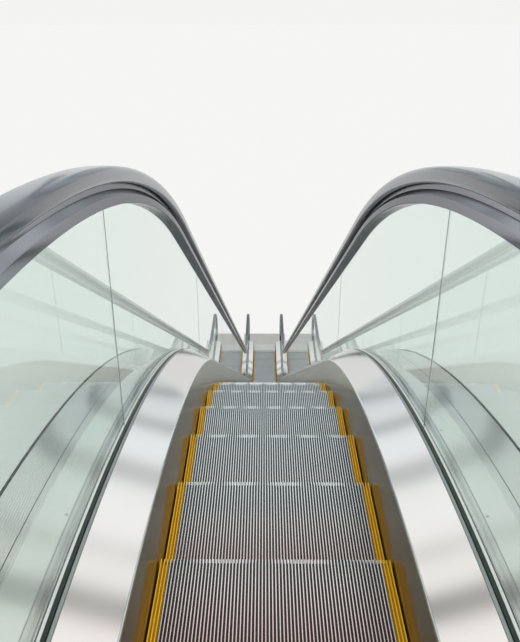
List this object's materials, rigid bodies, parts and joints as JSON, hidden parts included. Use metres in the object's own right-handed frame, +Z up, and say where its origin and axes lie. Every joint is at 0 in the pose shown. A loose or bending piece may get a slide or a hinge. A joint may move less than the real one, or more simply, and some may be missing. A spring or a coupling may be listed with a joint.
{
  "type": "escalator",
  "caption": "Narrow inclined escalator with cleated steps, frameless glass balustrades, looped rubber handrails, satin decks and comb landings.",
  "frame": {"origin": "middle of the bearing face under the upper support angle, where it rests on the building", "axes": "+Z up, +Y downhill along the run, +X to the right when looking downhill"},
  "size_m": [1.4306, 20.3055, 9.654],
  "materials": {
    "galvanised_steel": "dull grey",
    "cladding_paint": "smooth cream white",
    "skirt_steel": "satin dark taupe, low friction coat",
    "satin_steel": "satin, ground along its length",
    "clamp_aluminium": "mill",
    "gasket_rubber": "matt black",
    "balustrade_glass": "clear, slightly green, polished edges",
    "handrail_rubber": "smooth slate black, slight gloss",
    "cap_plastic": "matt black",
    "step_aluminium": "die cast, worn bright on the cleats",
    "floor_aluminium": "ribbed, satin",
    "yellow_plastic": "warm yellow"
  },
  "bodies": {
    "root": {"support_angle_upper": "galvanised_steel", "support_angle_lower": "galvanised_steel", "end_plate_upper": "galvanised_steel", "end_plate_lower": "galvanised_steel", "truss_chords": "galvanised_steel", "truss_posts": "galvanised_steel", "cross_beams": "galvanised_steel", "side_cladding_left": "cladding_paint", "side_cladding_right": "cladding_paint", "soffit_panels": "cladding_paint", "track_plates": "galvanised_steel", "chain_tracks": "galvanised_steel", "trailing_tracks": "galvanised_steel", "skirt_left": "skirt_steel", "skirt_right": "skirt_steel", "inner_deck_left": "satin_steel", "inner_deck_right": "satin_steel", "outer_deck_left": "satin_steel", "outer_deck_right": "satin_steel", "glass_clamps": "clamp_aluminium", "glass_gaskets": "gasket_rubber", "glass_left": "balustrade_glass", "glass_right": "balustrade_glass", "handrail_guide_left": "satin_steel", "handrail_guide_right": "satin_steel", "handrail_left": "handrail_rubber", "handrail_right": "handrail_rubber", "inlet_caps_upper": "cap_plastic", "inlet_caps_lower": "cap_plastic", "base_caps": "satin_steel", "comb_upper": "step_aluminium", "comb_lower": "step_aluminium", "floor_plate_upper": "floor_aluminium", "floor_plate_lower": "floor_aluminium", "step_treads_upper": "step_aluminium", "step_treads_middle": "step_aluminium", "step_treads_lower": "step_aluminium", "step_risers": "step_aluminium", "step_frames": "step_aluminium", "step_rollers": "gasket_rubber", "edge_strips_left": "yellow_plastic", "edge_strips_right": "yellow_plastic"}
  },
  "joints": []
}
